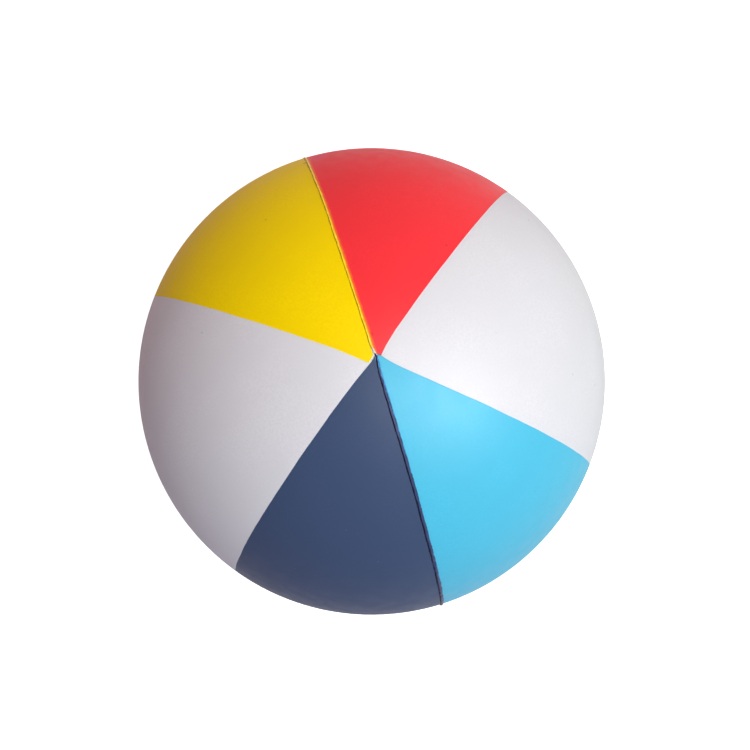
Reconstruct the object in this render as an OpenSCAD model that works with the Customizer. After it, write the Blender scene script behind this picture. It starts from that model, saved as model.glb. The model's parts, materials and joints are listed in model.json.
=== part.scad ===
// Inflatable beach ball with six panels, one raised weld and a push-in valve, in millimetres.
// The origin is the ball's centre and +Z runs through the upper pole, where the six tips meet.
// The raised weld lies in the plane X = 0, and the valve faces +X, below the equator.

/* [Ball] */
// Diameter over the panels
ball_d = 300; // [280:5:320]
// Thickness of the vinyl film
film_t = 0.4; // [0.3:0.05:0.5]
// Longitude covered by the red panel
red_sweep = 53; // [50:1:56]
// Longitude covered by the light blue panel
light_blue_sweep = 51; // [50:1:56]
// Longitude covered by the navy panel
navy_sweep = 53; // [50:1:56]
// Longitude covered by the yellow panel; the two white panels fill the rest
yellow_sweep = 53; // [50:1:56]
// Radius at which the six tips end, short of the pole
tip_r = 1.7; // [1.5:0.1:2.5]

/* [Raised weld] */
// Width of the welded ridge
bead_w = 2.2; // [1.6:0.2:2.6]

/* [Backing] */
// Glue line between the panels and what is bonded behind them
glue_t = 0.2; // [0.15:0.05:0.3]
// Thickness of the seam tapes and pole patches
tape_t = 0.4; // [0.3:0.05:0.5]
// Width of a seam tape
tape_w = 8; // [6:1:12]
// Radius of a pole patch
patch_r = 12; // [9:1:15]

/* [Valve place] */
// Latitude of the valve in the middle of the right-hand white panel
valve_latitude = -25; // [-40:1:-20]
// Radius of the round window in the panel, behind which the valve patch is bonded
window_r = 26; // [22:1:28]
// Radius of the valve patch
valve_patch_r = 30; // [30:1:34]
// Radius of the hole in the valve patch, and of the flange's inner edge
hole_r = 10.5; // [10.5:0.1:11.5]
// Outer radius of the flange
flange_r = 16; // [15:0.5:20]
// Thickness of the flange
flange_t = 0.8; // [0.6:0.1:1]

/* [Valve stem] */
// Outer radius of the stem
stem_r = 5.5; // [5.4:0.1:5.6]
// Radius of the straight bore, which takes a pump nozzle
bore_r = 3.25; // [3:0.05:3.4]
// Radius of the tapered seat at the rim
seat_r = 4.3; // [4.2:0.05:4.4]
// Depth of the tapered seat
seat_depth = 3.5; // [3.4:0.1:3.6]
// Depth of the rim below the ball's surface when the valve is pushed in
rim_depth = 0.6; // [0.5:0.1:0.7]
// Length of the stem
stem_l = 13.4; // [12:0.2:14]
// How far the collar at the foot stands out from the stem
collar_out = 1.3; // [1.1:0.1:1.4]
// Height of that collar
collar_h = 1.1; // [0.9:0.1:1.3]

/* [Skirt] */
// Thickness of the rolling skirt
skirt_t = 0.5; // [0.4:0.05:0.6]

/* [Plug] */
// Radius of the plug's head
head_r = 6.2; // [6:0.1:6.3]
// How far the head stands proud of the ball's surface
head_proud = 1; // [0.9:0.1:1.1]
// Length of the tapered stub
stub_l = 3; // [2.8:0.1:3.1]
// Clearance between the stub and its seat
stub_gap = 0.06; // [0.05:0.01:0.1]

/* [Strap] */
// Distance of the strap's middle from the valve's axis, which is where the plug turns
strap_x = 7.8; // [7.7:0.1:7.9]
// Thickness of the strap
strap_t = 0.8; // [0.7:0.05:0.9]
// Width of the strap and of the two ears that hold it
strap_w = 3.6; // [3:0.1:4]

/* [Check flap] */
// Radius of the flap
flap_r = 4.5; // [4.2:0.1:4.8]
// Thickness of the flap
flap_t = 0.7; // [0.6:0.05:0.8]
// Distance of the flap's hinge line from the valve's axis
flap_hinge_x = 5.4; // [5.3:0.05:5.4]

/* [Hidden] */

$fn = 128;
ball_r = ball_d / 2;
beyond = 1.2 * ball_r;          // reaches past the ball from its centre
red_from = 90 - red_sweep;
light_blue_to = -90 + light_blue_sweep;
navy_from = -90 - navy_sweep;
yellow_to = 90 + yellow_sweep;
backing_r = ball_r - film_t - glue_t;
flange_top_r = backing_r - tape_t - glue_t;
bead_r = bead_w / 2;

// Heights in the valve's own frame, in which Z = 0 is the ball's surface and +Z points out
rim_z = -rim_depth;
foot_z = rim_z - stem_l;
collar_top_z = foot_z + collar_h;
face_gap = 0.05;                // between valve faces that only touch
skirt_gap = 0.1;                // between the skirt and the flange
skirt_top_z = -1.6;
skirt_bend_z = -2.4;            // where the skirt turns from upright to sloping
ear_t = 0.8;                    // the plug's ear, level with the top of its head
lug_t = 1.4;                    // the stem's lug
lug_top_z = rim_z - 2;
seat_slope = (seat_r - bore_r) / seat_depth;
stub_top_r = seat_r - stub_gap;

// ---- helpers ----

module shell(outer_r, thickness) {
    difference() {
        sphere(r = outer_r);
        sphere(r = outer_r - thickness);
    }
}

// Everything between two longitudes
module wedge(from, sweep) {
    reach = 2 * ball_r;
    linear_extrude(height = 2 * beyond, center = true)
        polygon([
            [0, 0],
            reach * [cos(from), sin(from)],
            reach * [cos(from + sweep), sin(from + sweep)],
        ]);
}

// A rod along the polar axis
module polar_rod(radius) {
    cylinder(r = radius, h = 2 * beyond, center = true);
}

// The slot that the raised weld fills
module weld_slot() {
    translate([-bead_w / 2, -beyond, -beyond])
        cube([bead_w, 2 * beyond, 2 * beyond]);
}

// One panel between two longitudes, cut back from the poles and from the weld
module gore(from, sweep) {
    difference() {
        intersection() {
            shell(ball_r, film_t);
            wedge(from, sweep);
        }
        polar_rod(tip_r);
        weld_slot();
    }
}

// Tape behind the flush seam at one longitude, from one pole patch to the other
module seam_tape(longitude) {
    color("whitesmoke")
        difference() {
            intersection() {
                shell(backing_r, tape_t);
                rotate([0, 0, longitude])
                    translate([0, -tape_w / 2, -beyond])
                        cube([beyond, tape_w, 2 * beyond]);
            }
            polar_rod(patch_r + 0.5);
        }
}

// Round patch behind the six tips at one pole: side is 1 at the top and -1 at the bottom
module pole_patch(side) {
    color("white")
        intersection() {
            shell(backing_r, tape_t);
            translate([0, 0, side * beyond / 2])
                cylinder(r = patch_r, h = beyond, center = true);
        }
}

// Puts its children in the valve's own frame
module at_valve() {
    rotate([0, 90 - valve_latitude, 0])
        translate([0, 0, ball_r])
            children();
}

// ---- panels, clockwise from the top as seen from above ----

module panel_red() {
    color("#f0383e") gore(red_from, red_sweep);
}

module panel_white_right() {
    color("#f1f1f3")
        difference() {
            gore(light_blue_to, red_from - light_blue_to);
            at_valve() cylinder(r = window_r, h = 20, center = true);
        }
}

module panel_light_blue() {
    color("#3fbdec") gore(-90, light_blue_sweep);
}

module panel_navy() {
    color("#3c4260") gore(navy_from, navy_sweep);
}

module panel_white_left() {
    color("#f1f1f3") gore(yellow_to, 360 + navy_from - yellow_to);
}

module panel_yellow() {
    color("#f2ce00") gore(90, yellow_sweep);
}

// ---- raised weld round the whole ball, through both poles ----

module perimeter_seam() {
    color("#f2ce00")
        rotate([0, 90, 0])
            rotate_extrude()
                translate([ball_r, 0]) {
                    translate([-film_t, -bead_r]) square([film_t, bead_w]);
                    intersection() {
                        circle(r = bead_r);
                        translate([0, -bead_r]) square([bead_r, bead_w]);
                    }
                }
}

// ---- valve ----

// Curved washer behind the panel, centred on the valve
module valve_ring(top_r, thickness, rim_r) {
    color("white")
        difference() {
            intersection() {
                shell(top_r, thickness);
                at_valve() cylinder(r = rim_r, h = 20, center = true);
            }
            at_valve() cylinder(r = hole_r, h = 22, center = true);
        }
}

module valve_patch() {
    valve_ring(backing_r, tape_t, valve_patch_r);
}

module valve_flange() {
    valve_ring(flange_top_r, flange_t, flange_r);
}

// Membrane from the flange's inner edge down to the collar at the stem's foot
module valve_skirt() {
    top_r = hole_r - skirt_gap;
    foot_r = stem_r + collar_out - 0.1;
    color("white")
        at_valve()
            rotate_extrude()
                polygon([
                    [top_r, skirt_top_z],
                    [top_r, skirt_bend_z],
                    [foot_r, collar_top_z + face_gap],
                    [foot_r - skirt_t, collar_top_z + face_gap],
                    [top_r - skirt_t, skirt_bend_z],
                    [top_r - skirt_t, skirt_top_z],
                ]);
}

// Tube with a tapered seat in its mouth, a straight bore, a collar and a lug for the strap
module valve_stem() {
    color("white")
        at_valve()
            difference() {
                union() {
                    translate([0, 0, foot_z]) cylinder(r = stem_r, h = stem_l);
                    translate([0, 0, foot_z]) cylinder(r = stem_r + collar_out, h = collar_h);
                    translate([-strap_x + strap_t / 2, -strap_w / 2, lug_top_z - lug_t])
                        cube([strap_x - strap_t / 2, strap_w, lug_t]);
                }
                translate([0, 0, foot_z - 1]) cylinder(r = bore_r, h = stem_l + 2);
                translate([0, 0, rim_z - seat_depth])
                    cylinder(r1 = bore_r, r2 = seat_r, h = seat_depth);
            }
}

// Disc that lies against the stem's foot, with a tab out to its hinge line
module check_flap() {
    color("white")
        at_valve()
            translate([0, 0, foot_z - face_gap - flap_t]) {
                cylinder(r = flap_r, h = flap_t);
                translate([0, -strap_w / 2, 0]) cube([flap_hinge_x, strap_w, flap_t]);
            }
}

// Flat head with an ear for the strap on one side and a finger lip on the other
module plug() {
    head_z = rim_z + face_gap;
    head_t = head_proud - head_z;
    color("white")
        at_valve() {
            translate([0, 0, head_z]) cylinder(r = head_r, h = head_t);
            translate([0, 0, head_z - stub_l])
                cylinder(
                    r1 = stub_top_r - stub_l * seat_slope,
                    r2 = stub_top_r,
                    h = stub_l
                );
            translate([-strap_x + strap_t / 2, -strap_w / 2, head_proud - ear_t])
                cube([strap_x - strap_t / 2, strap_w, ear_t]);
            translate([0, -strap_w / 2, head_proud - ear_t])
                cube([head_r + 1.2, strap_w, ear_t]);
        }
}

// Web from the stem's lug up to the plug's ear
module plug_strap() {
    foot = lug_top_z - lug_t;
    color("white")
        at_valve()
            translate([-strap_x - strap_t / 2, -strap_w / 2, foot])
                cube([strap_t, strap_w, head_proud - foot]);
}

panel_red();
panel_white_right();
panel_light_blue();
panel_navy();
panel_white_left();
panel_yellow();
perimeter_seam();
seam_tape(red_from);  // seam_tape_red_white
seam_tape(light_blue_to);  // seam_tape_white_blue
seam_tape(navy_from);  // seam_tape_navy_white
seam_tape(yellow_to);  // seam_tape_white_yellow
pole_patch(1);  // pole_patch_top
pole_patch(-1);  // pole_patch_bottom
valve_patch();
valve_flange();
valve_skirt();
valve_stem();
check_flap();
plug();
plug_strap();
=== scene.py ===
"""Inflatable ball in six colours, with one raised weld and a push-in valve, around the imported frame.

The origin is the ball's centre. +Z runs through the pole where the six tips meet, the raised weld
follows the plane X = 0, and the valve faces +X, below the equator. Sizes are in metres unless a
name or a comment says otherwise, and an angle down from the upper pole is called theta.
"""

import json
import math

import bmesh
import bpy
from mathutils import Matrix, Vector, noise


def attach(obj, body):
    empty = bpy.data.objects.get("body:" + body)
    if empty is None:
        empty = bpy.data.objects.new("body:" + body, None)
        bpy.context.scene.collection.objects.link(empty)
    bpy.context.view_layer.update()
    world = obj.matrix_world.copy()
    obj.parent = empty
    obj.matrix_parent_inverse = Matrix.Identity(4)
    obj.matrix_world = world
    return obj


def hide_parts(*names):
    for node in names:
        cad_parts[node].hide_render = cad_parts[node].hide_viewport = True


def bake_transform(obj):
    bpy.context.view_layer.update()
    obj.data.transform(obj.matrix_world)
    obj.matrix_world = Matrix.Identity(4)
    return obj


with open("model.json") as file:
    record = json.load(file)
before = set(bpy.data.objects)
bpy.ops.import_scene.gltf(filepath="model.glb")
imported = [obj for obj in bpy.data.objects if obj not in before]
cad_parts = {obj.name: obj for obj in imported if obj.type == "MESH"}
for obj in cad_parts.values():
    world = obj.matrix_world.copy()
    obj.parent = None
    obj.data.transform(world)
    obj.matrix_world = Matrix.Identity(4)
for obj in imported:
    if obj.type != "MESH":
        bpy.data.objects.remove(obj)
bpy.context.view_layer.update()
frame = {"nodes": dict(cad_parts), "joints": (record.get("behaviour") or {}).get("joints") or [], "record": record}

MM = 0.001
MOUNTS = {mount["name"]: mount for mount in frame["record"]["mounts"]}
JOINTS = {joint["name"]: joint for joint in frame["joints"]}

# ---- ball, from the frame ----
CREST_H = 1.1 * MM                              # how far the CAD weld stands off the panels
FLOOR_Z = MOUNTS["resting_contact"]["pos_m"][2]
BALL_R = -FLOOR_Z - CREST_H
FILM_T = 0.4 * MM

# ---- panels ----
BUTT_GROOVE = 0.10 * MM                         # how far an edge rolls down at a flush seam
TIP_GROOVE = 0.35 * MM                          # the same where six tips meet
FOOT_CREASE = 0.30 * MM                         # the same at the weld's steep side
FLUSH_DROP = 0.02 * MM                          # the same where the weld's long side runs out
ROW_STEP = 4.0 * MM
COLUMN_STEP = 4.5 * MM
TIP_ROWS = (0, 0.15, 0.4, 0.8, 1.4, 2.2, 3.2, 4.6, 6.5, 9, 12.5)    # millimetres from a tip
EDGE_COLUMNS = (0, 0.15, 0.4, 0.8, 2.2)                              # millimetres from an edge
HOOK_ANGLE = 5.0                                # degrees over which a seam's hook at a pole fades
TIP_FADE = 2.5 * MM                             # distance over which a seam leaves its tip's corner
FAR_FROM_WELD = 9.0                             # millimetres from the weld at which its tint is long gone
BOTTOM_SHARE = 0.8                              # the tips at the lower pole, against those at the top

# A seam wanders off its meridian, anticlockwise as seen from above, by
# lean * cos(theta) + bow * sin(theta) + twist * sin(2 theta), plus a hook at each pole.
# Each row holds the longitude in degrees, then these four in millimetres.
SEAMS = {
    "red_white": (37, 0.3, -1.65, 1.3, -2.55),
    "white_yellow": (143, 2.45, -2.1, 1.2, 1.85),
    "navy_white": (-143, -1.55, 2.15, -1.7, 2.05),
    "white_blue": (-39, 0.1, 0.15, -0.05, 2.35),
}

# Each panel has its record slot, its clockwise side and its anticlockwise side, and the corner at
# which each side starts beside the pole, as x and y in millimetres.
PANELS = {
    "red": ("vinyl_red", "red_white", "weld_right_up", (3.5, 0.3), (1.2, 2.2)),
    "yellow": ("vinyl_yellow", "weld_left_up", "white_yellow", (-0.5, 1.6), (-4.2, -1.6)),
    "white_left": ("vinyl_white", "white_yellow", "navy_white", (-4.25, -1.65), (-4.25, -1.65)),
    "navy": ("vinyl_navy", "navy_white", "weld_left_down", (-0.1, 1.3), (-0.1, 1.3)),
    "light_blue": ("vinyl_light_blue", "weld_right_down", "white_blue", (1.5, 1.2), (3.6, 0.0)),
    "white_right": ("vinyl_white", "white_blue", "red_white", (3.65, 0.15), (3.65, 0.15)),
}

# ---- raised weld: places across it are along X, in millimetres, and up is the half with y > 0 ----
WELD_FEET = {"left": {"up": -0.85, "down": -0.95}, "right": {"up": 0.55, "down": 1.3}}
WELD_H = {"up": 0.5, "down": 0.8}               # height of its crest
WELD_STEPS = 900                                # cross-sections round the ball
HALF_BLEND = 4.0                                # from a pole, over which one half turns into the other
# Unevenness of each foot, and of the crest as a share of its height: size, pitch and seed
FOOT_WAVES = {
    "left": ((0.13, 34, 1), (0.12, 9, 2), (0.10, 2.5, 4)),
    "right": ((0.13, 34, 1), (0.12, 9, 3), (0.04, 2.5, 5)),
}
CREST_WAVES = ((0.12, 22, 8), (0.10, 3.5, 9))
NICK_PITCH, NICK_SEED = 9, 10                   # nicks in the crest
NICK_FROM = 0.45                                # the noise above this is a nick
NICK_DEPTH = 0.8
FOOT_SHIFT = {"left": 0.9, "right": 0.35}       # how far a foot moves to +X at a pole
FOOT_SHIFT_REACH = 4.5                          # from a pole, over which that fades
LOWER_SHIFT, LOWER_SHIFT_REACH = 0.5, 14        # the left foot's longer shift on the lower half
FLAT_SHARE, FLAT_PLACE, FLAT_REACH = 0.6, 2.5, 3.5    # the crest is flattened near a pole
# Cross-section: share of the width from the left foot, and height as a share of the crest's
WELD_PROFILE = (
    (0.0, -0.4), (0.07, 0.15), (0.14, 0.70), (0.22, 0.94), (0.32, 1.0), (0.44, 0.94),
    (0.58, 0.76), (0.74, 0.48), (0.88, 0.20), (1.0, -0.04),
)
WHITE_TO_YELLOW = 5.2 * MM                      # distance from a pole at which the white stops
WHITE_TO_NAVY = 1.3 * MM
POLE_CREEP = 20 * MM                            # over which the next colour creeps further near a pole
POLE_CREEP_SHARE = 0.5                          # how much further, as a share of the weld's width

# ---- valve, in millimetres in its own frame: heights are above the ball's surface ----
VALVE_OUT = Vector(JOINTS["stem_pull"]["axis"])
VALVE_Y = Vector((0, 1, 0))
VALVE_X = VALVE_Y.cross(VALVE_OUT)              # the strap is on the negative side
VALVE_SEGMENTS = 96
WINDOW_R = 26.0
WINDOW_MARGIN = 14.0                            # of the panel's grid that gives way to rings round it
WELD_RING = 3.0                                 # outer edge of the ring weld, out from the window
PRESSED = 0.12 * MM                             # how deep that weld is pressed
PUCKER_DEPTH = 0.10 * MM                        # of the film's gathers outside it
PUCKER_REACH = 6.0
PATCH_R = 30.0
HOLE_R = 10.5
PATCH_TOP = -0.6
STEM_R = 5.5
BORE_R = MOUNTS["nozzle_bore"]["dims"]["r_mm"]
SEAT_R = 4.3
RIM_Z = -0.6
SEAT_Z = -4.1
FOOT_Z = -14.0
COLLAR_R = 6.8
COLLAR_TOP = -12.9
LUG = (-4.0, -2.6)                              # heights of the stem's lug
EAR = (0.2, 1.0)                                # heights of the plug's ear and lip
HEAD_R = 6.2
HEAD_Z = -0.55
STUB_TOP_R = 4.24
STUB_FOOT_R = 3.34
STUB_FOOT_Z = -3.55
STRAP_X = (-8.2, -7.4)                          # its two faces
STRAP_W = 3.6
STRAP_BEND_Z = -1.2                             # height at which the strap is thinnest, and bends
STRAP_BEND_REACH = 0.9
STRAP_THINNING = 0.3
SKIRT_R = 10.4
SKIRT_T = 0.5
SKIRT_TOP = -1.6
SKIRT_BEND = -2.4
FLAP_R = 4.5
FLAP_Z = (-14.75, -14.05)
FLAP_TAB_X = 5.4

# ---- view and light ----
VIEW_ELEVATION = 85.0
VIEW_LONGITUDE = -114.9
VIEW_ROLL = -7.8
VIEW_DISTANCE = 6 * BALL_R
LENS_MM = 66.3
SHIFT = (0.0043, 0.0085)
LAMP_DISTANCE = 1.8
LAMP_SIZE = 1.1
FLOOR_RADIUS = 2.2
WALL_CURVE = 1.0                                # radius of the curve from the floor to the wall
WALL_TOP = 4.0                                  # height of the wall above the floor
FLOOR_GLOW = 0.82


# ======== small helpers ========

def meridian_point(longitude, theta, aside):
    """Unit vector at theta down the meridian, then aside metres anticlockwise, across it."""
    turn = aside / BALL_R
    east = Vector((-math.sin(longitude), math.cos(longitude), 0))
    down = Vector((
        math.sin(theta) * math.cos(longitude),
        math.sin(theta) * math.sin(longitude),
        math.cos(theta),
    ))
    return math.cos(turn) * down + math.sin(turn) * east


def slerp(a, b, share):
    """Unit vector part of the way round from a to b."""
    angle = a.angle(b, 0.0)
    if angle < 1e-6:
        return a.lerp(b, share).normalized()
    return (math.sin((1 - share) * angle) * a + math.sin(share * angle) * b) / math.sin(angle)


def wander(place, pitch, seed):
    """Smooth noise from -1 to 1 at a point in metres, with waves of about the given pitch."""
    return 2 * noise.noise(Vector(place) / pitch + Vector((seed * 7.31, seed * 3.17, 0.5)))


def finish_mesh(bm, name, materials, body="ball", replaces=()):
    """Makes the object, in place, ties it to its body, and hides the CAD nodes that it replaces."""
    bmesh.ops.remove_doubles(bm, verts=bm.verts, dist=1e-6)
    bmesh.ops.dissolve_degenerate(bm, edges=bm.edges, dist=1e-7)
    bmesh.ops.recalc_face_normals(bm, faces=bm.faces)
    mesh = bpy.data.meshes.new(name)
    bm.to_mesh(mesh)
    bm.free()
    mesh.shade_smooth()
    mesh.set_sharp_from_angle(angle=math.radians(40))
    piece = bpy.data.objects.new(name, mesh)
    bpy.context.scene.collection.objects.link(piece)
    for material in materials:
        mesh.materials.append(material)
    if body:
        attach(piece, body)
    if replaces:
        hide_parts(*replaces)
    return piece


# ======== materials ========

class Nodes:
    """Short calls for building one material's node tree."""

    def __init__(self, name):
        self.material = bpy.data.materials.new(name)
        self.material.use_nodes = True
        self.tree = self.material.node_tree
        self.shader = self.tree.nodes["Principled BSDF"]
        self.place = self.add("ShaderNodeTexCoord").outputs["Object"]

    def add(self, kind, inputs=None, **settings):
        """A node whose inputs are linked to a socket, or set to a plain value."""
        node = self.tree.nodes.new(kind)
        for key, value in settings.items():
            setattr(node, key, value)
        for key, value in (inputs or {}).items():
            if isinstance(value, bpy.types.NodeSocket):
                self.tree.links.new(value, node.inputs[key])
            else:
                node.inputs[key].default_value = value
        return node

    def noise(self, pitch, detail=2.0, roughness=0.5):
        """Noise with features of about pitch metres."""
        inputs = {"Vector": self.place, "Scale": 1 / pitch, "Detail": detail, "Roughness": roughness}
        return self.add("ShaderNodeTexNoise", inputs).outputs["Fac"]

    def ramp(self, value, low, high, to_low=0.0, to_high=1.0):
        """value from low to high, eased and clamped, to to_low to to_high."""
        inputs = {
            "Value": value, "From Min": low, "From Max": high, "To Min": to_low, "To Max": to_high,
        }
        return self.add("ShaderNodeMapRange", inputs, interpolation_type="SMOOTHSTEP").outputs["Result"]

    def maths(self, operation, a, b):
        return self.add("ShaderNodeMath", {0: a, 1: b}, operation=operation).outputs[0]

    def mix(self, share, a, b):
        """Colour a where share is 0 and colour b where it is 1."""
        inputs = {0: share, 6: a, 7: b}          # the node's factor, and its two colours
        return self.add("ShaderNodeMix", inputs, data_type="RGBA").outputs[2]

    def marked(self, tone, marks):
        """Blemishes, and patches of painted shade, over a colour. Each has a place and a radius in millimetres,
        and its own colour.
        """
        for spot, radius, mark_colour in marks:
            away = {0: self.place, 1: [part * MM for part in spot]}
            distance = self.add("ShaderNodeVectorMath", away, operation="DISTANCE").outputs["Value"]
            near = self.ramp(distance, 0.0, radius * MM, 1.0, 0.0)
            patchy = self.maths("MULTIPLY", near, self.ramp(self.noise(1.8 * MM, 3.0), 0.2, 0.6))
            tone = self.mix(self.ramp(patchy, 0.08, 0.35, 0.0, 0.8), tone, mark_colour)
        return tone

    def attribute(self, name):
        return self.add("ShaderNodeAttribute", attribute_name=name).outputs["Fac"]

    def bump(self, height, distance, normal=None):
        inputs = {"Height": height, "Distance": distance, "Strength": 1.0}
        if normal is not None:
            inputs["Normal"] = normal
        return self.add("ShaderNodeBump", inputs).outputs["Normal"]

    def finish(self, colour, roughness, normal, specular=0.5):
        """Wires up the shader and gives the material."""
        self.tree.links.new(colour, self.shader.inputs["Base Color"])
        self.tree.links.new(roughness, self.shader.inputs["Roughness"])
        self.tree.links.new(normal, self.shader.inputs["Normal"])
        self.shader.inputs["Specular IOR Level"].default_value = specular
        return self.material


def rgb(red, green, blue):
    """A linear colour with its alpha."""
    return (red, green, blue, 1.0)


def scaled(colour, share):
    return rgb(*(part * share for part in colour[:3]))


def vinyl(name, colour, specular=0.3, speck_share=0.55, speck_pitch=21 * MM, edge_colour=None,
          weld_band=False, marks=()):
    """Printed satin film: soft mottling, a fine skin, a few specks, and a tint at the weld's foot.

    speck_share is a speck's brightness against the film's, and weld_band knurls the ring welds.
    """
    n = Nodes(name)
    mottle = n.ramp(n.noise(38 * MM, 3.0), 0.35, 0.65)
    tone = n.mix(mottle, scaled(colour, 0.975), scaled(colour, 1.02))
    grain = n.ramp(n.noise(1.3 * MM, 2.0), 0.3, 0.7)
    tone = n.mix(grain, scaled(colour, 0.96), tone)
    cells = {"Vector": n.place, "Scale": 1 / speck_pitch, "Randomness": 1.0}
    specks = n.add("ShaderNodeTexVoronoi", cells).outputs["Distance"]
    speck = n.ramp(specks, 0.020, 0.045, 0.55, 0.0)
    tone = n.mix(speck, tone, scaled(colour, speck_share))
    tone = n.marked(tone, marks)
    if edge_colour:
        inset = n.maths("ADD", n.attribute("inset"), n.ramp(n.noise(3 * MM), 0.3, 0.7, -0.15, 0.15))
        tone = n.mix(n.ramp(inset, 0.0, 1.8, 0.9, 0.0), tone, edge_colour)
    rough = n.ramp(n.noise(9 * MM, 4.0), 0.3, 0.7, 0.40, 0.47)
    normal = n.bump(n.noise(0.9 * MM, 3.0, 0.6), 0.016 * MM)
    normal = n.bump(n.noise(14 * MM, 2.0), 0.09 * MM, normal)
    if weld_band:
        cross = {"Vector": n.place, "Scale": 1 / (1.1 * MM), "Randomness": 0.25}
        knurl = n.add("ShaderNodeTexVoronoi", cross, feature="F1").outputs["Distance"]
        normal = n.bump(n.maths("MULTIPLY", knurl, n.attribute("weld")), 0.16 * MM, normal)
    return n.finish(tone, rough, normal, specular)


def weld_film(name, colour, edge_colour, edge_from, shade_strength, specular):
    """The film that laps over the weld: painted shade in its steep side, the next colour on its long side."""
    n = Nodes(name)
    tone = n.mix(n.ramp(n.noise(5 * MM, 3.0), 0.35, 0.65), scaled(colour, 0.9), scaled(colour, 1.06))
    creep = n.maths("ADD", n.attribute("creep"), n.ramp(n.noise(2.2 * MM, 3.0), 0.3, 0.7, -0.14, 0.14))
    tone = n.mix(n.ramp(creep, edge_from, 1.0, 0.0, 0.9), tone, edge_colour)
    # painted shade: the steep side and the crease at its foot are darkened towards a fifth of the film's colour,
    # standing in for their shadow
    painted_shade = n.maths("ADD", n.attribute("across"), n.ramp(n.noise(4.5 * MM, 3.0), 0.3, 0.7, -0.16, 0.12))
    tone = n.mix(n.ramp(painted_shade, 0.10, 0.36, shade_strength, 0.0), tone, scaled(colour, 0.2))
    rough = n.ramp(n.noise(3 * MM, 3.0), 0.3, 0.7, 0.32, 0.44)
    normal = n.bump(n.noise(0.8 * MM, 3.0, 0.6), 0.03 * MM)
    return n.finish(tone, rough, normal, specular)


def moulding(name, colour, rough_low, rough_high, skin_pitch, marks=()):
    """Soft moulded vinyl of the valve, or plain tape, without print."""
    n = Nodes(name)
    tone = n.mix(n.ramp(n.noise(4 * MM, 3.0), 0.3, 0.7), scaled(colour, 0.95), colour)
    # on the tape, these marks are painted shade in the pit between two tips
    tone = n.marked(tone, marks)
    rough = n.ramp(n.noise(2.5 * MM, 3.0), 0.3, 0.7, rough_low, rough_high)
    normal = n.bump(n.noise(skin_pitch, 2.0), 0.02 * MM)
    return n.finish(tone, rough, normal)


RED = rgb(0.98, 0.030, 0.040)
YELLOW = rgb(0.98, 0.70, 0.0)
NAVY = rgb(0.047, 0.076, 0.159)
LIGHT_BLUE = rgb(0.068, 0.51, 0.74)
WHITE = rgb(0.725, 0.715, 0.75)
BARE_WHITE = rgb(0.72, 0.69, 0.69)
RED_MARKS = (
    ((7, 138, 58), 6.5, rgb(0.86, 0.02, 0.12)),
    ((1.8, 13, 149.4), 2.2, rgb(0.80, 0.008, 0.02)),
)
YELLOW_MARKS = (
    ((-1.0, 135, 65.4), 3.6, rgb(0.66, 0.44, 0.01)),
)
# painted shade: a near-black patch on the tape where the pit between the red and light-blue tips opens onto it,
# standing in for the pit's shadow
TAPE_PIT_PAINTED_SHADE = (
    ((2.4, 1.1, 149.5), 2.2, rgb(0.05, 0.04, 0.045)),
)
MATERIALS = {
    "red": vinyl("red_vinyl", RED, edge_colour=rgb(0.98, 0.22, 0.01), marks=RED_MARKS),
    "yellow": vinyl("yellow_vinyl", YELLOW, specular=0.08, marks=YELLOW_MARKS),
    "white_left": vinyl("white_vinyl", WHITE),
    "navy": vinyl("navy_vinyl", NAVY, specular=0.18, speck_share=2.6, speck_pitch=11 * MM),
    "light_blue": vinyl("light_blue_vinyl", LIGHT_BLUE, speck_pitch=15 * MM),
    "white_right": vinyl("white_vinyl_valve_side", WHITE, weld_band=True),
}
# the fifth number of each weld film is the strength of its painted shade on the steep side
WELD_YELLOW = weld_film("weld_yellow", YELLOW, rgb(0.98, 0.26, 0.01), 0.6, 0.62, 0.55)
WELD_NAVY = weld_film("weld_navy", rgb(0.036, 0.05, 0.135), rgb(0.07, 0.28, 0.60), 0.88, 0.9, 0.15)
WELD_WHITE = weld_film("weld_white", BARE_WHITE, rgb(0.8, 0.5, 0.45), 0.9, 0.5, 0.3)
TAPE = moulding("backing_tape", rgb(0.80, 0.80, 0.82), 0.5, 0.6, 2.0 * MM, marks=TAPE_PIT_PAINTED_SHADE)
VALVE_VINYL = moulding("valve_vinyl", rgb(0.80, 0.82, 0.84), 0.28, 0.38, 1.5 * MM)


# ======== seams ========

def weld_arc(theta, half):
    """How far round the weld's ring, from the upper pole through +Y, this colatitude lies."""
    return theta if half == "up" else -theta


def weld_place(arc):
    """A point on the weld's ring: itself, its millimetres towards +Y, and the upper half's share."""
    spot = (0, math.sin(arc) * BALL_R, math.cos(arc) * BALL_R)
    along = spot[1] / MM
    return spot, along, 0.5 + 0.5 * math.tanh(along / HALF_BLEND)


def uneven(spot, waves):
    """Sum of several waves of noise at a point in metres."""
    return sum(size * wander(spot, pitch * MM, seed) for size, pitch, seed in waves)


def weld_side(arc, side):
    """X of the weld's left or right foot at an angle round its ring."""
    spot, along, share = weld_place(arc)
    foot = WELD_FEET[side]
    x = share * foot["up"] + (1 - share) * foot["down"]
    x += uneven(spot, FOOT_WAVES[side])
    x += FOOT_SHIFT[side] * math.exp(-((along / FOOT_SHIFT_REACH) ** 2))
    if side == "left":
        x += LOWER_SHIFT * (1 - share) * math.exp(along / LOWER_SHIFT_REACH)
    return x * MM


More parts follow.
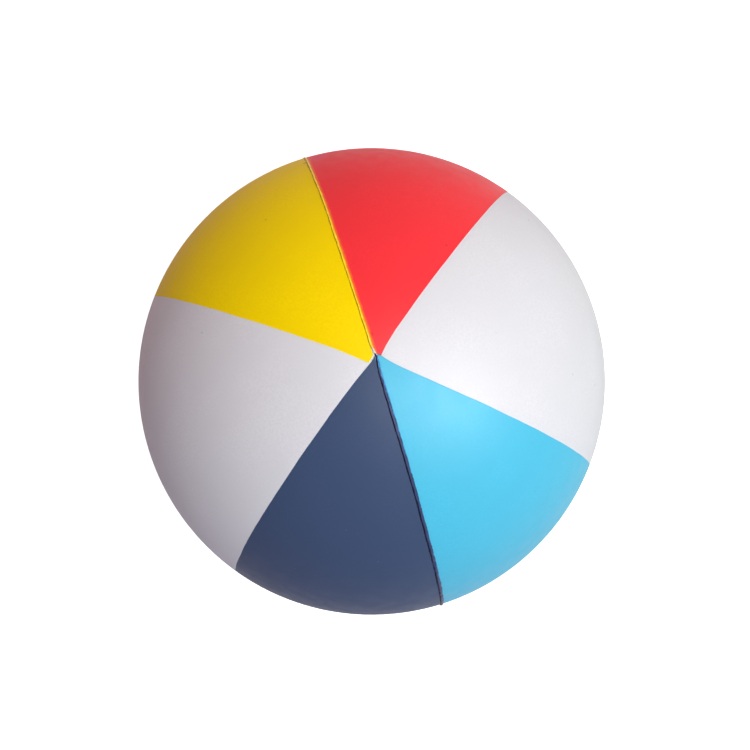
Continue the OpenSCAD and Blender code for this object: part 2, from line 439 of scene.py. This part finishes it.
def side_of(seam):
    """Longitude of a panel side, and a function that gives its anticlockwise drift at theta."""
    if seam.startswith("weld"):
        _, side, half = seam.split("_")
        turn = -1 if half == "up" else 1         # anticlockwise is -X on one half and +X on the other

        def drift(theta):
            return turn * weld_side(weld_arc(theta, half), side)
        return math.radians(90 if half == "up" else -90), drift

    longitude, lean, bow, twist, hook = SEAMS[seam]
    longitude = math.radians(longitude)

    def drift(theta):
        hooks = math.exp(-math.degrees(abs(theta)) / HOOK_ANGLE)
        hooks += BOTTOM_SHARE * math.exp(-math.degrees(abs(math.pi - theta)) / HOOK_ANGLE)
        smooth = lean * math.cos(theta) + bow * math.sin(theta) + twist * math.sin(2 * theta)
        spot = meridian_point(longitude, theta, 0) * BALL_R
        rough = 0.12 * wander(spot, 16 * MM, 6) + 0.05 * wander(spot, 4 * MM, 7)
        return (smooth + hook * hooks + rough) * MM
    return longitude, drift


def side_points(seam, corner, shares):
    """Unit vectors down one side of a panel, from its corner at the upper pole to the lower one."""
    longitude, drift = side_of(seam)
    x, y = corner[0] * MM, corner[1] * MM
    start = (x * math.cos(longitude) + y * math.sin(longitude)) / BALL_R
    aside = y * math.cos(longitude) - x * math.sin(longitude)
    end = math.pi - start * BOTTOM_SHARE
    start_gap = aside - drift(start)
    end_gap = aside * BOTTOM_SHARE - drift(end)
    points = []
    for share in shares:
        theta = start + (end - start) * share
        from_start = (theta - start) * BALL_R
        from_end = (end - theta) * BALL_R
        shift = start_gap * math.exp(-from_start / TIP_FADE) + end_gap * math.exp(-from_end / TIP_FADE)
        points.append(meridian_point(longitude, theta, drift(theta) + shift))
    return points


# ======== panels ========

def graded(length, near, step):
    """Places from 0 to length: the near ones from both ends, and even steps between."""
    ends = [place * MM for place in near]
    middle = length - 2 * ends[-1]
    count = max(1, round(middle / step))
    inner = [ends[-1] + middle * k / count for k in range(1, count)]
    return ends + inner + [length - place for place in reversed(ends)]


def grid_shares(columns, width):
    """Shares of a row of the given width at which its columns lie.

    The edge columns keep their true distance from the edge, until the row is too narrow for it.
    """
    last = len(columns) - 1
    edge_last = len(EDGE_COLUMNS) - 1
    left = [min(columns[k] / max(width, 1e-6), k / last) for k in range(edge_last + 1)]
    inner_from, inner_to = columns[edge_last], columns[last - edge_last]
    middle = []
    for place in columns[edge_last + 1:last - edge_last]:
        inner = (place - inner_from) / (inner_to - inner_from)
        middle.append(left[-1] + (1 - 2 * left[-1]) * inner)
    return left + middle + [1 - share for share in reversed(left)]


class Shell:
    """A patch of the sphere: faces, and points that each have a height and two attributes.

    inset is a point's distance from the raised weld in millimetres, and weld is 1 where a ring weld
    presses the film.
    """

    def __init__(self):
        self.points, self.heights, self.insets, self.welds, self.faces = [], [], [], [], []

    def point(self, direction, height=0.0, inset=FAR_FROM_WELD, weld=0.0):
        self.points.append(direction)
        self.heights.append(height)
        self.insets.append(inset)
        self.welds.append(weld)
        return len(self.points) - 1

    def build(self, name, material, node, outer_r=BALL_R, thickness=FILM_T):
        """Closes the patch into a shell of the given thickness."""
        bm = bmesh.new()
        inset_layer = bm.verts.layers.float.new("inset")
        weld_layer = bm.verts.layers.float.new("weld")
        outer, inner = [], []
        for k, direction in enumerate(self.points):
            for group, radius in ((outer, outer_r + self.heights[k]), (inner, outer_r - thickness)):
                vert = bm.verts.new(direction * radius)
                vert[inset_layer] = self.insets[k]
                vert[weld_layer] = self.welds[k]
                group.append(vert)
        used = {}
        for face in self.faces:
            bm.faces.new([outer[k] for k in face])
            bm.faces.new([inner[k] for k in reversed(face)])
            for a, b in zip(face, face[1:] + face[:1]):
                used[(a, b)] = True
        for a, b in used:
            if (b, a) not in used:
                bm.faces.new((outer[b], outer[a], inner[a], inner[b]))
        finish_mesh(bm, name, [material], replaces=[node])


def edge_drop(seam):
    """How far a panel's edge rolls down at this seam."""
    if seam.startswith("weld_left"):
        return FOOT_CREASE
    if seam.startswith("weld_right"):
        return FLUSH_DROP
    return BUTT_GROOVE


def weld_inset(clockwise, anticlockwise, share, width):
    """Millimetres from a point of a panel to the weld at its side, if there is one."""
    if clockwise.startswith("weld"):
        return min(share * width / MM, FAR_FROM_WELD)
    if anticlockwise.startswith("weld"):
        return min((1 - share) * width / MM, FAR_FROM_WELD)
    return FAR_FROM_WELD


def panel(name):
    """One panel, from pole to pole, between its two seams."""
    slot, clockwise, anticlockwise, corner_a, corner_b = PANELS[name]
    length = math.pi * BALL_R
    rows = [place / length for place in graded(length, TIP_ROWS, ROW_STEP)]
    side_a = side_points(clockwise, corner_a, rows)
    side_b = side_points(anticlockwise, corner_b, rows)
    width_most = max(a.angle(b, 0.0) for a, b in zip(side_a, side_b)) * BALL_R
    columns = graded(width_most, EDGE_COLUMNS, COLUMN_STEP)
    level = [0.0] * (len(columns) - 2)
    heights = [-edge_drop(clockwise), *level, -edge_drop(anticlockwise)]
    tip_heights = [-TIP_GROOVE] * len(columns)
    shell = Shell()
    grid = []
    for row, (a, b) in enumerate(zip(side_a, side_b)):
        width = a.angle(b, 0.0) * BALL_R
        at_tip = row in (0, len(rows) - 1)
        line = []
        for share, height in zip(grid_shares(columns, width), tip_heights if at_tip else heights):
            inset = weld_inset(clockwise, anticlockwise, share, width)
            line.append(shell.point(slerp(a, b, share), height, inset))
        grid.append(line)
    faces = {}
    for i in range(len(grid) - 1):
        for j in range(len(columns) - 1):
            faces[(i, j)] = [grid[i][j], grid[i + 1][j], grid[i + 1][j + 1], grid[i][j + 1]]
    if name == "white_right":
        cut_window(shell, grid, faces)
    shell.faces = list(faces.values())
    shell.build("panel_" + name + "_film", MATERIALS[name], "panel_" + name)


def around_valve(radius, angle):
    """Unit vector at a distance in millimetres from the valve's axis, measured over the ball."""
    turn = radius * MM / BALL_R
    across = math.cos(angle) * VALVE_X + math.sin(angle) * VALVE_Y
    return math.cos(turn) * VALVE_OUT + math.sin(turn) * across


def pucker(radius, angle):
    """The film's faint radial gathers outside the round weld."""
    fade = math.exp(-max(0.0, radius - WINDOW_R - WELD_RING) / PUCKER_REACH)
    folds = math.sin(11 * angle + 1.7 * math.sin(3 * angle))
    return -PUCKER_DEPTH * fade * (0.6 + 0.4 * folds)


def cut_window(shell, grid, faces):
    """Replaces a block of a panel's grid by rings that run in to the round window over the valve."""
    def near_valve(indices):
        """First and last place in a row or column of the grid that is near the valve."""
        reach = (WINDOW_R + WINDOW_MARGIN) * MM / BALL_R
        near = [k for k, index in enumerate(indices) if shell.points[index].angle(VALVE_OUT) < reach]
        return near[0], near[-1]

    middle = len(grid[0]) // 2
    top, bottom = near_valve([line[middle] for line in grid])
    left, right = near_valve(grid[(top + bottom) // 2])
    for i in range(top, bottom):
        for j in range(left, right):
            del faces[(i, j)]
    loop = [grid[i][left] for i in range(top, bottom)]
    loop += [grid[bottom][j] for j in range(left, right)]
    loop += [grid[i][right] for i in range(bottom, top, -1)]
    loop += [grid[top][j] for j in range(right, left, -1)]
    angles = []
    for k in loop:
        spot = shell.points[k]
        angles.append(math.atan2(spot.dot(VALVE_Y), spot.dot(VALVE_X)))
    # radius in millimetres, height, and 1 where the weld presses the film into the patch
    rings = [(WINDOW_R, -BUTT_GROOVE, 0), (WINDOW_R + 0.15, 0.0, 0), (WINDOW_R + 0.6, 0.0, 0),
             (WINDOW_R + 0.75, -PRESSED, 1), (WINDOW_R + WELD_RING, -PRESSED, 1),
             (WINDOW_R + WELD_RING + 0.15, 0.0, 0), (WINDOW_R + 4.5, 0.0, 0), (WINDOW_R + 6.5, 0.0, 0),
             (WINDOW_R + 9, 0.0, 0)]
    previous = None
    for radius, height, weld in rings:
        ring = []
        for angle in angles:
            lift = height + (pucker(radius, angle) if radius > WINDOW_R + WELD_RING + 0.1 else 0.0)
            ring.append(shell.point(around_valve(radius, angle), lift, weld=weld))
        if previous:
            join_rings(faces, previous, ring)
        previous = ring
    join_rings(faces, previous, loop)


def join_rings(faces, inner, outer):
    """Quads between two closed rings, facing out."""
    count = len(inner)
    for k in range(count):
        n = (k + 1) % count
        faces[("ring", outer[k], k)] = [outer[k], outer[n], inner[n], inner[k]]


# ======== raised weld ========

def weld_height(arc):
    """The crest's height, uneven along the weld and flattened where it crosses a pole."""
    spot, along, share = weld_place(arc)
    height = share * WELD_H["up"] + (1 - share) * WELD_H["down"]
    nick = max(0.0, wander(spot, NICK_PITCH * MM, NICK_SEED) - NICK_FROM)
    flat = FLAT_SHARE * math.exp(-(((along - FLAT_PLACE) / FLAT_REACH) ** 2))
    return height * MM * (1 + uneven(spot, CREST_WAVES) - NICK_DEPTH * nick) * (1 - flat)


def weld_colour(along):
    """Index of the weld's material at a distance in metres from the poles towards +Y."""
    if along > WHITE_TO_YELLOW:
        return 0
    if along < WHITE_TO_NAVY:
        return 1
    return 2


def raised_weld():
    """The ridge all round the ball, in the colour of the panel on its left."""
    bm = bmesh.new()
    across_layer = bm.verts.layers.float.new("across")
    creep_layer = bm.verts.layers.float.new("creep")
    rings = []
    arcs = [2 * math.pi * k / WELD_STEPS for k in range(WELD_STEPS)]
    for arc in arcs:
        left, right, crest = weld_side(arc, "left"), weld_side(arc, "right"), weld_height(arc)
        along = math.sin(arc) * BALL_R
        pull = POLE_CREEP_SHARE * math.exp(along / POLE_CREEP) if along < 0 else 0.0
        section = [(share, height * crest) for share, height in WELD_PROFILE]
        section += [(1.0, -FILM_T), (0.0, -FILM_T)]
        ring = []
        for share, height in section:
            turn = (left + (right - left) * share) / BALL_R
            out = Vector((
                math.sin(turn), math.cos(turn) * math.sin(arc), math.cos(turn) * math.cos(arc),
            ))
            vert = bm.verts.new(out * (BALL_R + height))
            vert[across_layer] = share
            vert[creep_layer] = share + pull
            ring.append(vert)
        rings.append(ring)
    for k, ring in enumerate(rings):
        following = rings[(k + 1) % WELD_STEPS]
        colour = weld_colour(math.sin(arcs[k]) * BALL_R)
        for j in range(len(ring)):
            n = (j + 1) % len(ring)
            face = bm.faces.new((ring[j], ring[n], following[n], following[j]))
            face.material_index = colour
    materials = [WELD_YELLOW, WELD_NAVY, WELD_WHITE]
    finish_mesh(bm, "perimeter_weld", materials, replaces=["perimeter_seam"])


# ======== valve ========

def to_row(point):
    """A point of the valve's frame, in millimetres, in the row frame."""
    x, y, z = point
    return x * MM * VALVE_X + y * MM * VALVE_Y + (BALL_R + z * MM) * VALVE_OUT


def fillet(points, steps=5, closed=True):
    """Rounds a profile's corners: each point is radius, height and the corner's rounding."""
    result = []
    count = len(points)
    for k, (r, z, rounding) in enumerate(points):
        corner = Vector((r, z))
        ends = not closed and k in (0, count - 1)
        if rounding <= 0 or ends:
            result.append(corner)
            continue
        before = Vector(points[k - 1][:2]) - corner
        after = Vector(points[(k + 1) % count][:2]) - corner
        half = before.angle(after) / 2
        cut = rounding / math.tan(half)
        centre = corner + (before.normalized() + after.normalized()).normalized() * (
            rounding / math.sin(half)
        )
        first = corner + before.normalized() * cut - centre
        last = corner + after.normalized() * cut - centre
        for step in range(steps + 1):
            arm = first.lerp(last, step / steps).normalized() * rounding
            result.append(centre + arm)
    return result


def lathe(bm, profile, closed=True, segments=VALVE_SEGMENTS):
    """Turns a profile of radius and height about the valve's axis, in millimetres."""
    rings = []
    for r, z in profile:
        if r < 1e-6:
            rings.append([bm.verts.new((0, 0, z))])
            continue
        ring = []
        for k in range(segments):
            angle = 2 * math.pi * (k + 0.5) / segments
            ring.append(bm.verts.new((r * math.cos(angle), r * math.sin(angle), z)))
        rings.append(ring)
    pairs = list(zip(rings, rings[1:]))
    if closed:
        pairs.append((rings[-1], rings[0]))
    for a, b in pairs:
        for k in range(segments):
            n = (k + 1) % segments
            corners = [a[k % len(a)], a[n % len(a)], b[n % len(b)], b[k % len(b)]]
            face = [v for i, v in enumerate(corners) if v not in corners[:i]]
            bm.faces.new(face)


def rounded_block(bm, low, high, rounding):
    """A block with rounded edges between two corners, in millimetres."""
    made = bmesh.ops.create_cube(bm, size=1.0)["verts"]
    size = [b - a for a, b in zip(low, high)]
    middle = [(a + b) / 2 for a, b in zip(low, high)]
    for vert in made:
        vert.co = Vector([c * s + m for c, s, m in zip(vert.co, size, middle)])
    edges = list({edge for vert in made for edge in vert.link_edges})
    bmesh.ops.bevel(
        bm, geom=edges, offset=rounding, segments=4, profile=0.5, affect="EDGES", clamp_overlap=True,
    )


def plain_object(bm, name):
    """An object for a boolean, which is removed again."""
    bmesh.ops.recalc_face_normals(bm, faces=bm.faces)
    mesh = bpy.data.meshes.new(name)
    bm.to_mesh(mesh)
    bm.free()
    made = bpy.data.objects.new(name, mesh)
    bpy.context.scene.collection.objects.link(made)
    return made


def joined(bodies):
    """One bmesh with the union of several closed ones, in millimetres."""
    whole = plain_object(bodies[0], "union_base")
    for k, bm in enumerate(bodies[1:]):
        tool = plain_object(bm, f"union_tool_{k}")
        union = whole.modifiers.new(f"union_{k}", "BOOLEAN")
        union.operation = "UNION"
        union.solver = "EXACT"
        union.object = tool
    bpy.context.view_layer.update()
    mesh = bpy.data.meshes.new_from_object(whole.evaluated_get(bpy.context.evaluated_depsgraph_get()))
    result = bmesh.new()
    result.from_mesh(mesh)
    tools = [modifier.object for modifier in whole.modifiers]
    for made in [whole, *tools]:
        bpy.data.objects.remove(made)
    return result


def place_in_valve(bm):
    """Moves a mesh from the valve's frame to the row frame."""
    for vert in bm.verts:
        vert.co = to_row(vert.co)


def ring_at_valve(name, radii, outer_height, thickness, material, node):
    """A curved washer of the ball's own curvature. radii: distance, height and weld for each ring."""
    shell = Shell()
    count = 144
    previous = None
    rings = {}
    for radius, height, weld in radii:
        ring = []
        for k in range(count):
            angle = 2 * math.pi * k / count
            ring.append(shell.point(around_valve(radius, angle), height * MM, weld=weld))
        if previous:
            join_rings(rings, previous, ring)
        previous = ring
    shell.faces = list(rings.values())
    shell.build(name, material, node, BALL_R + outer_height * MM, thickness * MM)


def valve_patch():
    """The round patch behind the panel's window, pressed onto the flange by a ring weld."""
    radii = [(HOLE_R, -0.1, 0), (HOLE_R + 0.15, 0.05, 0), (HOLE_R + 0.6, 0.08, 0),
             (HOLE_R + 1.2, 0, 0), (HOLE_R + 1.9, 0, 0), (HOLE_R + 2.05, -0.1, 1),
             (HOLE_R + 4.6, -0.1, 1), (HOLE_R + 4.75, 0, 0), (HOLE_R + 7, -0.02, 0),
             (HOLE_R + 10, -0.04, 0), (HOLE_R + 13, -0.02, 0), (WINDOW_R, 0, 0),
             (WINDOW_R + 2, 0, 0), (PATCH_R - 0.15, 0, 0), (PATCH_R, -0.1, 0)]
    ring_at_valve(
        "valve_patch_film", radii, PATCH_TOP, 0.4, MATERIALS["white_right"], "valve_patch",
    )


def valve_skirt():
    """The thin membrane that rolls as the stem moves, from the flange down to the stem's collar."""
    bm = bmesh.new()
    foot_r = COLLAR_R - 0.1
    foot_z = COLLAR_TOP + 0.05
    outer = [(SKIRT_R, SKIRT_TOP), (SKIRT_R, SKIRT_BEND)]
    steps = 22
    for k in range(1, steps + 1):
        share = k / steps
        ripple = 0.14 * math.sin(3 * math.pi * share) * math.sin(math.pi * share)
        radius = SKIRT_R + (foot_r - SKIRT_R) * share + ripple
        outer.append((radius, SKIRT_BEND + (foot_z - SKIRT_BEND) * share))
    inner = [(r - SKIRT_T, z) for r, z in reversed(outer)]
    lathe(bm, outer + inner)
    place_in_valve(bm)
    piece = finish_mesh(bm, "valve_skirt_membrane", [VALVE_VINYL], body=None,
                        replaces=["valve_skirt"])
    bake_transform(piece)


def valve_stem():
    """The tube with its tapered seat, collar and strap lug."""
    bm = bmesh.new()
    profile = fillet([
        (SEAT_R, RIM_Z, 0.25), (STEM_R, RIM_Z, 0.4), (STEM_R, COLLAR_TOP, 0.3),
        (COLLAR_R, COLLAR_TOP, 0.3), (COLLAR_R, FOOT_Z, 0.3), (BORE_R, FOOT_Z, 0.2), (BORE_R, SEAT_Z, 0),
    ])
    lathe(bm, profile)
    lug = bmesh.new()
    rounded_block(lug, (STRAP_X[1], -STRAP_W / 2, LUG[0]), (-STEM_R + 0.6, STRAP_W / 2, LUG[1]), 0.25)
    whole = joined([bm, lug])
    place_in_valve(whole)
    finish_mesh(whole, "valve_stem_tube", [VALVE_VINYL], "valve_stem", ["valve_stem"])


def plug():
    """The stopper: a dished head with an ear for the strap and a finger lip, and a tapered stub."""
    bm = bmesh.new()
    profile = fillet([
        (0, EAR[1] - 0.2, 0), (3.9, EAR[1] - 0.2, 1.2), (4.6, EAR[1], 0.3), (HEAD_R, EAR[1], 0.35),
        (HEAD_R, HEAD_Z, 0.25), (STUB_TOP_R, HEAD_Z, 0), (STUB_FOOT_R, STUB_FOOT_Z, 0.4),
        (0, STUB_FOOT_Z, 0),
    ], closed=False)
    lathe(bm, profile, closed=False)
    ear, lip = bmesh.new(), bmesh.new()
    rounded_block(ear, (STRAP_X[1], -STRAP_W / 2, EAR[0]), (-HEAD_R + 0.8, STRAP_W / 2, EAR[1]), 0.2)
    rounded_block(lip, (HEAD_R - 0.8, -STRAP_W / 2, EAR[0]), (HEAD_R + 1.2, STRAP_W / 2, EAR[1]), 0.3)
    whole = joined([bm, ear, lip])
    place_in_valve(whole)
    finish_mesh(whole, "plug_stopper", [VALVE_VINYL], "valve_plug", ["plug"])


def plug_strap():
    """The web between the stem's lug and the plug's ear, thinned where it bends."""
    bm = bmesh.new()
    steps = 30
    low, high = LUG[0], EAR[1]
    middle_x = sum(STRAP_X) / 2
    previous = None
    for k in range(steps + 1):
        z = low + (high - low) * k / steps
        thin = 1 - STRAP_THINNING * math.exp(-(((z - STRAP_BEND_Z) / STRAP_BEND_REACH) ** 2))
        end = min(k, steps - k)
        tuck = 0.12 if end == 0 else 0.04 if end == 1 else 0.0
        half_x = (STRAP_X[1] - STRAP_X[0]) / 2 * thin - tuck
        half_y = STRAP_W / 2 - 0.2 * (1 - thin) - tuck
        ring = []
        for x, y in rounded_outline(half_x, half_y, 0.18):
            ring.append(bm.verts.new((middle_x + x, y, z)))
        if previous:
            for j in range(len(ring)):
                n = (j + 1) % len(ring)
                bm.faces.new((previous[j], previous[n], ring[n], ring[j]))
        else:
            bm.faces.new(ring)
        previous = ring
    bm.faces.new(previous)
    place_in_valve(bm)
    piece = finish_mesh(bm, "plug_strap_web", [VALVE_VINYL], body=None,
                        replaces=["plug_strap"])
    start, end = to_row((middle_x, 0, LUG[1])), to_row((middle_x, 0, EAR[0]))
    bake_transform(piece)


def rounded_outline(half_x, half_y, rounding, steps=4):
    """Points round a rectangle with round corners."""
    points = []
    for quarter in range(4):
        sign_x = 1 if quarter in (0, 3) else -1
        sign_y = 1 if quarter in (0, 1) else -1
        for step in range(steps + 1):
            angle = math.pi / 2 * (quarter + step / steps)
            x = sign_x * (half_x - rounding) + rounding * math.cos(angle)
            y = sign_y * (half_y - rounding) + rounding * math.sin(angle)
            points.append((x, y))
    return points


def check_flap():
    """The disc that shuts the stem's foot, with a tab out to its hinge."""
    bm = bmesh.new()
    profile = fillet([
        (0, FLAP_Z[1], 0), (FLAP_R, FLAP_Z[1], 0.2), (FLAP_R, FLAP_Z[0], 0.2), (0, FLAP_Z[0], 0),
    ], closed=False)
    lathe(bm, profile, closed=False)
    tab = bmesh.new()
    rounded_block(tab, (FLAP_R - 1.2, -STRAP_W / 2, FLAP_Z[0]), (FLAP_TAB_X, STRAP_W / 2, FLAP_Z[1]), 0.15)
    whole = joined([bm, tab])
    place_in_valve(whole)
    finish_mesh(whole, "check_flap_disc", [VALVE_VINYL], "check_flap", ["check_flap"])


# ======== the whole object ========

for panel_name in PANELS:
    panel(panel_name)
raised_weld()
valve_patch()
valve_skirt()
valve_stem()
plug()
plug_strap()
check_flap()

for node_name, node in frame["nodes"].items():
    if node_name == "valve_flange":
        cad_material = VALVE_VINYL
    else:
        cad_material = TAPE
    node.data.materials.clear()
    node.data.materials.append(cad_material)


# ======== camera, light and stage ========

def make_camera():
    """The camera looks almost straight down on the upper pole."""
    elevation, longitude = math.radians(VIEW_ELEVATION), math.radians(VIEW_LONGITUDE)
    back = Vector((
        math.cos(elevation) * math.cos(longitude),
        math.cos(elevation) * math.sin(longitude),
        math.sin(elevation),
    ))
    data = bpy.data.cameras.new("camera")
    data.lens, data.sensor_width = LENS_MM, 36.0
    data.shift_x, data.shift_y = SHIFT
    data.clip_start, data.clip_end = 0.02, 60.0
    camera = bpy.data.objects.new("camera", data)
    bpy.context.scene.collection.objects.link(camera)
    camera.rotation_mode = "QUATERNION"
    upright = (-back).to_track_quat("-Z", "Y")
    camera.rotation_quaternion = Matrix.Rotation(math.radians(-VIEW_ROLL), 3, back).to_quaternion() @ upright
    camera.location = back * VIEW_DISTANCE
    bpy.context.scene.camera = camera
    return camera


camera = make_camera()
view_back = camera.rotation_quaternion @ Vector((0, 0, 1))
view_right = camera.rotation_quaternion @ Vector((1, 0, 0))
view_up = camera.rotation_quaternion @ Vector((0, 1, 0))


def area_light(name, direction, power, reflection_only=False):
    """A soft round lamp, aimed at the ball's centre."""
    data = bpy.data.lights.new(name, "AREA")
    data.shape = "DISK"
    data.size = LAMP_SIZE
    data.energy = power
    lamp = bpy.data.objects.new(name, data)
    bpy.context.scene.collection.objects.link(lamp)
    lamp.location = direction * LAMP_DISTANCE
    lamp.rotation_mode = "QUATERNION"
    lamp.rotation_quaternion = (-direction).to_track_quat("-Z", "Y")
    lamp.visible_camera = False
    lamp.visible_diffuse = not reflection_only


def in_view(from_axis, roll):
    """A direction at an angle from the view's axis, turned anticlockwise from the image's right."""
    lean, turn = math.radians(from_axis), math.radians(roll)
    sideways = math.cos(turn) * view_right + math.sin(turn) * view_up
    return math.cos(lean) * view_back + math.sin(lean) * sideways


area_light("key", in_view(15, 0), 18.2)
area_light("fill", in_view(30, -40), 6.4)
area_light("sheen", in_view(42, -12), 24.0, reflection_only=True)


def make_world():
    """Soft surroundings. Each glow is brightest in one direction and fades out at right angles to it."""
    glows = (                                   # direction, colour, and how sharply the glow fades
        (view_right, (0.53, 0.60, 0.56), 1),
        (view_up, (0.47, 0.37, 0.40), 1),
        (-view_up, (0.34, 0.35, 0.46), 1),
        (view_back, (0.10, 0.10, 0.08), 1),
        (0.5 * view_up - view_back - 1.2 * view_right, (0.18, 0.08, 0.07), 1),
        (view_right - view_back, (0.26, 0.27, 0.27), 2),
        (Vector((0, 0, -1)), (0.42, 0.41, 0.43), 2),
    )
    world = bpy.data.worlds.new("studio")
    bpy.context.scene.world = world
    world.use_nodes = True
    tree = world.node_tree
    place = tree.nodes.new("ShaderNodeTexCoord").outputs["Generated"]
    total = None
    for direction, colour, sharpness in glows:
        facing = tree.nodes.new("ShaderNodeVectorMath")
        facing.operation = "DOT_PRODUCT"
        tree.links.new(place, facing.inputs[0])
        facing.inputs[1].default_value = direction.normalized()
        half = tree.nodes.new("ShaderNodeMath")
        half.operation = "MAXIMUM"
        tree.links.new(facing.outputs["Value"], half.inputs[0])
        half.inputs[1].default_value = 0.0
        fade = tree.nodes.new("ShaderNodeMath")
        fade.operation = "POWER"
        tree.links.new(half.outputs[0], fade.inputs[0])
        fade.inputs[1].default_value = sharpness
        glow = tree.nodes.new("ShaderNodeVectorMath")
        glow.operation = "MULTIPLY_ADD"
        tree.links.new(fade.outputs[0], glow.inputs[0])
        glow.inputs[1].default_value = colour
        glow.inputs[2].default_value = (0, 0, 0)
        if total:
            tree.links.new(total, glow.inputs[2])
        total = glow.outputs["Vector"]
    tree.links.new(total, tree.nodes["Background"].inputs["Color"])


make_world()


def make_stage():
    """A plain pale floor that curves up into a wall all round, seen by the camera only."""
    bm = bmesh.new()
    profile = [(0.0, 0.0), (FLOOR_RADIUS, 0.0)]
    steps = 8
    for k in range(1, steps + 1):
        angle = math.pi / 2 * k / steps
        out, rise = WALL_CURVE * math.sin(angle), WALL_CURVE * (1 - math.cos(angle))
        profile.append((FLOOR_RADIUS + out, rise))
    profile.append((FLOOR_RADIUS + WALL_CURVE, WALL_TOP))
    segments = 96
    rings = []
    for radius, height in profile:
        ring = []
        for k in range(segments if radius else 1):
            angle = 2 * math.pi * k / segments
            ring.append(bm.verts.new((radius * math.cos(angle), radius * math.sin(angle), FLOOR_Z + height)))
        rings.append(ring)
    for a, b in zip(rings, rings[1:]):
        for k in range(segments):
            n = (k + 1) % segments
            corners = [a[k % len(a)], b[k], b[n], a[n % len(a)]]
            bm.faces.new([v for i, v in enumerate(corners) if v not in corners[:i]])
    mesh = bpy.data.meshes.new("floor")
    bm.to_mesh(mesh)
    bm.free()
    mesh.shade_smooth()
    floor = bpy.data.objects.new("floor", mesh)
    bpy.context.scene.collection.objects.link(floor)
    n = Nodes("pale_floor")
    n.shader.inputs["Base Color"].default_value = (0.85, 0.85, 0.86, 1)
    n.shader.inputs["Roughness"].default_value = 0.9
    n.shader.inputs["Specular IOR Level"].default_value = 0.0
    n.shader.inputs["Emission Color"].default_value = (1, 1, 1, 1)
    n.shader.inputs["Emission Strength"].default_value = FLOOR_GLOW
    mesh.materials.append(n.material)
    floor.visible_diffuse = False
    floor.visible_glossy = False
    floor.visible_transmission = False
    floor.visible_shadow = False


make_stage()
bpy.context.scene.view_settings.view_transform = "Standard"
bpy.context.scene.view_settings.look = "None"
